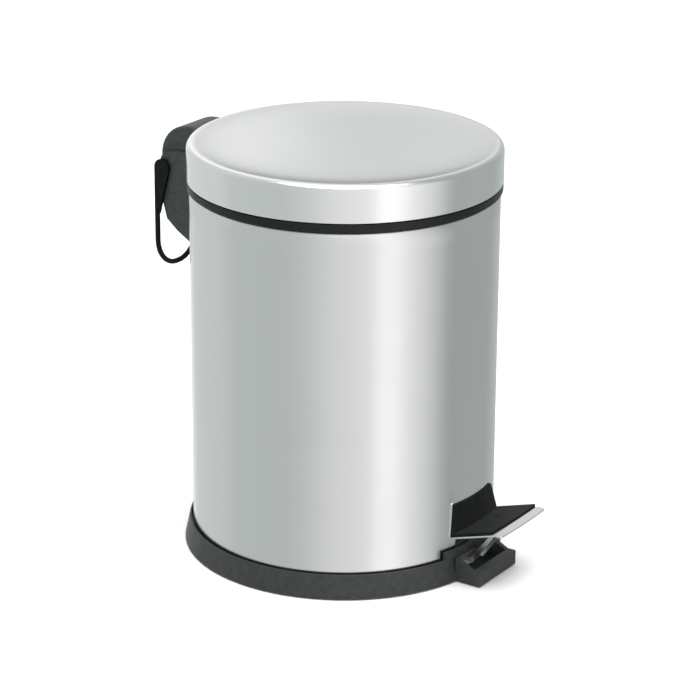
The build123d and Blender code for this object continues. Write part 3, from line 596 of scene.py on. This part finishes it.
@dataclass
class Can(Assembly):
    """The rolled shell with its lock seam, the collar and the base mouldings.

    The step is the turn between the shell's columns, in degrees. A column nearer than step_room to
    an opening's edge gives way to that edge.
    """

    sheet: float = 0.5 * MM
    seam_width: float = 6.0 * MM
    seam_height: float = 0.5 * MM
    window_half: float = 17.2 * MM
    window_top: float = 15.5 * MM
    slot_half: float = 7.0 * MM
    slot_room: float = 2.4 * MM
    row_height: float = 20 * MM
    row_count: int = 10
    seam_foot: float = 16.8 * MM
    seam_gap: float = 0.4 * MM
    seam_sink: float = 0.05 * MM
    seam_shoulder: float = 0.35 * MM
    seam_rounding: float = 0.12 * MM
    step: float = 1.25
    step_room: float = 0.3

    def build(self) -> None:
        """Builds and dresses every fixed piece of the can."""
        self.keep(self.shell(), "body_steel", Body.CAN)
        self.keep(self.seam(), "body_steel", Body.CAN)
        self.rework_all([
            ("top_collar", "collar_band", 0.35, "collar_plastic"),
            ("base_ring", "base_moulding", 0.7, "base_plastic"),
            ("rubber_foot_ring", "foot_ring", 0.3, "foot_rubber"),
            ("base_plate", "base_floor", 0.3, "zinc_steel"),
            ("base_screws", "base_floor_screws", 0.4, "zinc_steel"),
            ("pedal_axle", "pedal_pin", 0.1, "zinc_steel"),
            ("axle_clips", "pedal_pin_clips", 0.15, "zinc_steel"),
            ("rod_guide_lower", "guide_low", 0.4, "nylon"),
            ("rod_guide_upper", "guide_high", 0.4, "nylon"),
        ], Body.CAN)

    def shell(self) -> bpy.types.Object:
        """Rolls the shell, open where the lever and the lid's finger pass.

        Returns:
            The shell.
        """
        low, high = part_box("body_shell")
        radius = high[0] - self.sheet / 2
        slot_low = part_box("rod_cap")[1][2] - self.slot_room
        gaps = [(FRONT, math.degrees(math.asin(self.window_half / radius)), low[2], self.window_top),
                (BACK, math.degrees(math.asin(self.slot_half / radius)), slot_low, high[2])]
        turns = {round(i * self.step, 4) for i in range(int(360 / self.step))}
        for centre, half, _, _ in gaps:
            turns = {t for t in turns if abs(abs((t - centre + 180) % 360 - 180) - half) > self.step_room}
            turns |= {round((centre - half) % 360, 4), round((centre + half) % 360, 4)}
        angles = sorted(turns)
        rows = (low[2] + self.row_height * i for i in range(1, self.row_count + 1))
        heights = sorted({low[2], self.window_top, slot_low, high[2], *rows})
        work = bmesh.new()
        grid = [[work.verts.new((radius * math.cos(math.radians(t)), radius * math.sin(math.radians(t)), z))
                 for z in heights] for t in angles]
        for i, first in enumerate(grid):
            second = grid[(i + 1) % len(grid)]
            width = (angles[(i + 1) % len(grid)] - angles[i]) % 360
            middle = angles[i] + width / 2
            for j in range(len(heights) - 1):
                level = (heights[j] + heights[j + 1]) / 2
                if any(abs((middle - c + 180) % 360 - 180) < h and a < level < b for c, h, a, b in gaps):
                    continue
                work.faces.new((first[j], second[j], second[j + 1], first[j + 1]))
        loose = [v for v in work.verts if not v.link_faces]
        bmesh.ops.delete(work, geom=loose, context="VERTS")
        piece = finish_mesh("can_shell", work)
        wall = piece.modifiers.new("sheet", "SOLIDIFY")
        wall.thickness = self.sheet
        wall.offset = 0.0
        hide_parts("body_shell")
        return piece

    def seam(self) -> bpy.types.Object:
        """Folds the lock seam that closes the shell at the back.

        Returns:
            The seam, a low ridge under the hinge housing.
        """
        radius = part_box("body_shell")[1][0]
        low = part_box("base_ring")[0][2] + self.seam_foot
        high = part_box("hinge_housing")[0][2] - self.seam_gap
        half = self.seam_width / 2
        rise = self.seam_height
        across = [(-half, -self.seam_sink), (-half, self.seam_shoulder), (-half + rise, rise),
                  (half - rise, rise), (half, self.seam_shoulder), (half, -self.seam_sink)]
        work = bmesh.new()
        ends: list[list[bmesh.types.BMVert]] = []
        for z in (low, high):
            row = []
            for x, out in across:
                turn = math.pi / 2 - x / radius
                place = ((radius + out) * math.cos(turn), (radius + out) * math.sin(turn), z)
                row.append(work.verts.new(place))
            ends.append(row)
        for i in range(len(across)):
            j = (i + 1) % len(across)
            work.faces.new((ends[0][i], ends[0][j], ends[1][j], ends[1][i]))
        work.faces.new(ends[0])
        work.faces.new(ends[1])
        piece = finish_mesh("lock_seam", work)
        soften(piece, self.seam_rounding, segments=2)
        return piece


@dataclass
class Lid(Assembly):
    """The spun lid with its raised rim and dished top, and the hood riveted to it.

    The dish is level out to its foot and then rises to the rim's crest, as a power of its
    steepness. The skirt's and the lip's rows are heights above the lid's lower edge.
    """

    sheet: float = 0.7 * MM
    corner: float = 4.2 * MM
    dish_foot: float = 42.0 * MM
    crest_width: float = 5.4 * MM
    dish: float = 1.2 * MM
    bead: float = 0.7 * MM
    steepness: float = 4.5
    floor_steps: int = 6
    dish_steps: int = 30
    corner_steps: int = 12
    skirt_row: float = 10 * MM
    lip_row: float = 1.54 * MM
    roll_turn: float = 300.0
    roll_steps: int = 16

    def build(self) -> None:
        """Builds and dresses every piece that turns with the lid."""
        self.keep(self.top(), "lid_steel", Body.LID)
        self.rework_all([
            ("lid_hood", "hinge_hood", 0.7, "hinge_plastic"),
            ("lid_backing_plate", "lid_strap", 0.2, "zinc_steel"),
            ("lid_rivets", "hood_rivets", 0.4, "zinc_steel"),
        ], Body.LID)

    def outline(self, inset: float) -> Profile:
        """One face of the lid's sheet, from the pole to the lower edge.

        Args:
            inset: how far the face lies inside the outer one.

        Returns:
            Its (radius, height) points.
        """
        low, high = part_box("lid_shell")
        radius = high[0]
        top = high[2]
        crest = radius - self.crest_width
        points: Profile = [(0.0, top - self.dish - inset)]
        points += [(self.dish_foot * i / self.floor_steps, top - self.dish - inset)
                   for i in range(1, self.floor_steps)]
        for i in range(self.dish_steps + 1):
            t = i / self.dish_steps
            points.append((self.dish_foot + (crest - self.dish_foot) * t,
                           top - self.dish * (1.0 - t ** self.steepness) - inset))
        centre = (radius - self.corner, top - self.corner)
        points += arc(centre, self.corner - inset, 90, 0, self.corner_steps)
        points += [(radius - inset, low[2] + self.skirt_row), (radius - inset, low[2] + self.lip_row)]
        return points

    def top(self) -> bpy.types.Object:
        """Spins the lid.

        Returns:
            The lid, with its lower edge rolled inwards.
        """
        low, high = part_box("lid_shell")
        centre = (high[0] - self.bead, low[2] + self.bead)
        roll = arc(centre, self.bead, 0, -self.roll_turn, self.roll_steps)
        piece = lathe("lid_top", self.outline(0.0) + roll + self.outline(self.sheet)[::-1])
        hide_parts("lid_shell")
        return piece


@dataclass
class Hinge(Assembly):
    """The hinge housing, its fasteners, the pin and the carrying bail."""

    def build(self) -> None:
        """Reworks and dresses the hinge's pieces."""
        self.rework_all([
            ("hinge_housing", "housing_moulding", 0.8, "hinge_plastic"),
            ("hinge_pin", "lid_pin", 0.2, "zinc_steel"),
            ("housing_backing_plate", "housing_strap", 0.2, "zinc_steel"),
            ("housing_screws", "housing_strap_screws", 0.4, "zinc_steel"),
        ], Body.CAN)
        self.rework_all([("carry_bail", "bail_loop", 0.5, "bail_plastic")], Body.HANDLE)


@dataclass
class Bucket(Assembly):
    """The lift-out bucket and its wire bail."""

    def build(self) -> None:
        """Reworks and dresses the bucket's pieces."""
        self.rework_all([
            ("inner_bucket", "bucket_tub", 0.4, "bucket_plastic"),
            ("bucket_bail", "bucket_wire", 0.2, "zinc_steel"),
        ], Body.CAN)


@dataclass
class Pedal(Assembly):
    """The pressed pedal, its rubber pad and the lever under it."""

    def build(self) -> None:
        """Reworks and dresses the pedal's pieces."""
        self.rework_all([
            ("pedal_plate", "pedal_pressing", 0.3, "pedal_steel"),
            ("pedal_pad", "pedal_cover", 0.8, "pad_rubber"),
            ("pedal_lever", "lever_channel", 0.4, "pedal_steel"),
            ("pedal_rivets", "lever_rivets", 0.3, "zinc_steel"),
            ("lever_bushes", "lever_bearings", 0.2, "nylon"),
            ("lever_end_cap", "lever_tip", 0.3, "nylon"),
        ], Body.PEDAL)
        for name in ("pedal_pressing", "pedal_cover", "lever_channel"):
            bpy.data.objects[name].visible_glossy = False


@dataclass
class LiftRod(Assembly):
    """The rod that carries the pedal's push up to the lid."""

    def build(self) -> None:
        """Reworks and dresses the rod's pieces."""
        self.rework_all([
            ("push_rod", "lift_wire", 0.2, "zinc_steel"),
            ("rod_cap", "lift_button", 0.2, "nylon"),
        ], Body.ROD)


@dataclass
class Studio:
    """Pale floor, soft surroundings, the lights and the camera.

    Each panel is a turn round the object, in degrees with 0 on the camera's side, and the tent's
    brightness there. The cast is a faint green that comes in where the tent is darker. The strip's
    sides are turns too, and its low and high edges are the upright share of a looking direction.
    The lens and the sensor are in millimetres, other lengths in metres and angles in degrees.
    """

    azimuth: float = -56.0
    elevation: float = 19.97
    distance: float = 1.8155
    lens: float = 139.2
    sensor: float = 36.0
    near: float = 0.05
    roll: float = 0.32
    aim: tuple[float, float, float] = (0.0, 0.0, 0.14)
    shift: tuple[float, float] = (0.0083, -0.01187)
    floor_half: float = 30.0
    floor_level: float = -0.2 * MM
    panels: tuple[tuple[float, float], ...] = (
        (-180, 0.63), (-177.8, 0.92), (-165, 1.0), (-150, 0.66), (-97, 0.61), (-91, 0.545),
        (-45, 0.525), (-28, 0.59), (-8, 0.73), (14, 0.8), (21, 0.86), (25, 1.06), (38, 1.07),
        (49, 0.86), (58, 0.76), (71, 0.6), (80, 0.43), (88, 0.365), (97, 0.395), (135, 0.395),
        (165, 0.56), (176, 0.76), (180, 0.63),
    )
    cast: float = 0.05
    cast_under: float = 0.75
    cast_span: float = 0.2
    cast_shares: tuple[float, float, float] = (-1.0, 0.2, -0.4)
    strip_low: float = 0.06
    strip_foot: float = 0.03
    strip_high: float = 0.17
    strip_head: float = 0.04
    strip_sides: tuple[float, float] = (171.0, 177.0)
    strip_colour: tuple[float, float, float] = (0.2, 0.21, 0.21)
    fill: float = 1.3
    fill_width: float = 100.0
    lamp: float = 22.0
    lamp_size: float = 1.6
    lamp_place: tuple[float, float, float] = (-0.3, -0.2, 1.9)
    lamp_tilt: tuple[float, float, float] = (6.0, -9.0, 0.0)

    def build(self) -> None:
        """Sets up the camera, the floor, the surroundings and the lights."""
        self.camera()
        self.floor()
        self.surroundings()
        self.lights()
        bpy.context.scene.view_settings.view_transform = "Standard"

    def camera(self) -> None:
        """Places the camera."""
        data = bpy.data.cameras.new("camera")
        data.lens = self.lens
        data.sensor_width = self.sensor
        data.shift_x, data.shift_y = self.shift
        data.clip_start = self.near
        camera = bpy.data.objects.new("camera", data)
        bpy.context.scene.collection.objects.link(camera)
        a = math.radians(self.azimuth)
        e = math.radians(self.elevation)
        back = Vector((math.sin(a) * math.cos(e), -math.cos(a) * math.cos(e), math.sin(e)))
        right = Vector((math.cos(a), math.sin(a), 0.0))
        up = back.cross(right)
        r = math.radians(self.roll)
        right, up = right * math.cos(r) + up * math.sin(r), up * math.cos(r) - right * math.sin(r)
        place = Matrix((right, up, back)).transposed().to_4x4()
        place.translation = Vector(self.aim) + back * self.distance
        camera.matrix_world = place
        bpy.context.scene.camera = camera

    def floor(self) -> None:
        """Lays the pale floor, which polished faces don't mirror."""
        half = self.floor_half
        work = bmesh.new()
        signs = ((-1, -1), (1, -1), (1, 1), (-1, 1))
        corners = [work.verts.new((x * half, y * half, self.floor_level)) for x, y in signs]
        work.faces.new(corners)
        piece = finish_mesh("floor", work)
        material = bpy.data.materials.new("pale_floor")
        material.use_nodes = True
        shader = material.node_tree.nodes["Principled BSDF"]
        shader.inputs["Base Color"].default_value = (1.0, 1.0, 1.0, 1.0)
        shader.inputs["Roughness"].default_value = 0.9
        shader.inputs["Specular IOR Level"].default_value = 0.1
        piece.data.materials.append(material)
        piece.visible_glossy = False

    def surroundings(self) -> None:
        """Builds the soft tent: upright panels round the object, and a low dark strip behind it."""
        world = bpy.data.worlds.new("soft_tent")
        bpy.context.scene.world = world
        world.use_nodes = True
        tree = world.node_tree
        place = tree.nodes.new("ShaderNodeTexCoord").outputs["Generated"]
        turn = tree.nodes.new("ShaderNodeVectorRotate")
        turn.rotation_type = "Z_AXIS"
        turn.inputs["Angle"].default_value = math.radians(-self.azimuth)
        tree.links.new(place, turn.inputs["Vector"])
        parts = tree.nodes.new("ShaderNodeSeparateXYZ")
        tree.links.new(turn.outputs["Vector"], parts.inputs["Vector"])
        away = work_out(tree, "MULTIPLY", parts.outputs["Y"], -1.0)
        around = work_out(tree, "ARCTAN2", parts.outputs["X"], away)
        shade = tree.nodes.new("ShaderNodeMix")
        shade.data_type = "RGBA"
        colours = [socket for socket in shade.inputs if socket.type == "RGBA"]
        tree.links.new(self.low_strip(tree, parts.outputs["Z"], around), shade.inputs["Factor"])
        tree.links.new(self.upright_panels(tree, around), colours[0])
        colours[1].default_value = (*self.strip_colour, 1.0)
        result = next(socket for socket in shade.outputs if socket.type == "RGBA")
        tree.links.new(result, tree.nodes["Background"].inputs["Color"])
        tree.nodes["Background"].inputs["Strength"].default_value = 1.0

    def upright_panels(self, tree: bpy.types.NodeTree,
                       around: bpy.types.NodeSocket) -> bpy.types.NodeSocket:
        """Shades the tent round the object, from panel to panel.

        Args:
            tree: the world's node tree.
            around: the looking direction's turn about the upright axis, in radians.

        Returns:
            The tent's colour.
        """
        ramp = tree.nodes.new("ShaderNodeValToRGB")
        ramp.color_ramp.interpolation = "LINEAR"
        stops = ramp.color_ramp.elements
        while len(stops) < len(self.panels):
            stops.new(0.5)
        for stop, (angle, level) in zip(stops, self.panels):
            stop.position = (angle + 180) / 360
            cast = self.cast * min(1.0, max(0.0, (self.cast_under - level) / self.cast_span))
            stop.color = (*(level * (1.0 + share * cast) for share in self.cast_shares), 1.0)
        share_round = span(tree, around, -math.pi, math.pi, 0.0, 1.0)
        tree.links.new(share_round, ramp.inputs["Fac"])
        return ramp.outputs["Color"]

    def low_strip(self, tree: bpy.types.NodeTree, height: bpy.types.NodeSocket,
                  around: bpy.types.NodeSocket) -> bpy.types.NodeSocket:
        """Masks a low strip of the tent straight behind the object.

        Args:
            tree: the world's node tree.
            height: the looking direction's upright share.
            around: the looking direction's turn about the upright axis, in radians.

        Returns:
            The mask, 1 inside the strip.
        """
        foot = span(tree, height, self.strip_low, self.strip_low + self.strip_foot, 0.0, 1.0)
        head = span(tree, height, self.strip_high, self.strip_high + self.strip_head, 1.0, 0.0)
        turned = work_out(tree, "ABSOLUTE", around)
        side, middle = (math.radians(angle) for angle in self.strip_sides)
        behind = span(tree, turned, side, middle, 0.0, 1.0)
        return work_out(tree, "MULTIPLY", work_out(tree, "MULTIPLY", foot, head), behind)

    def lights(self) -> None:
        """Hangs a wide fill that polished faces don't mirror, and a soft light over the object."""
        sun = bpy.data.lights.new("fill", "SUN")
        sun.energy = self.fill
        sun.angle = math.radians(self.fill_width)
        fill = bpy.data.objects.new("fill", sun)
        fill.visible_glossy = False
        bpy.context.scene.collection.objects.link(fill)
        disk = bpy.data.lights.new("overhead", "AREA")
        disk.shape = "DISK"
        disk.size = self.lamp_size
        disk.energy = self.lamp
        overhead = bpy.data.objects.new("overhead", disk)
        overhead.location = self.lamp_place
        overhead.rotation_euler = [math.radians(angle) for angle in self.lamp_tilt]
        overhead.visible_camera = False
        bpy.context.scene.collection.objects.link(overhead)


def main() -> None:
    """Builds the bin, one sub-assembly after another."""
    logging.basicConfig(level=logging.INFO, format="%(message)s")
    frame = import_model()
    for node, piece in frame["nodes"].items():
        NODES[node] = piece.name
    Studio().build()
    wardrobe = Wardrobe()
    builders: list[Callable[[Wardrobe], Assembly]] = [Can, Bucket, Lid, Hinge, LiftRod, Pedal]
    for builder in builders:
        assembly = builder(wardrobe)
        assembly.build()
        LOG.info("%s: %d pieces", builder.__name__, len(assembly.made))


if __name__ == "__main__":
    main()
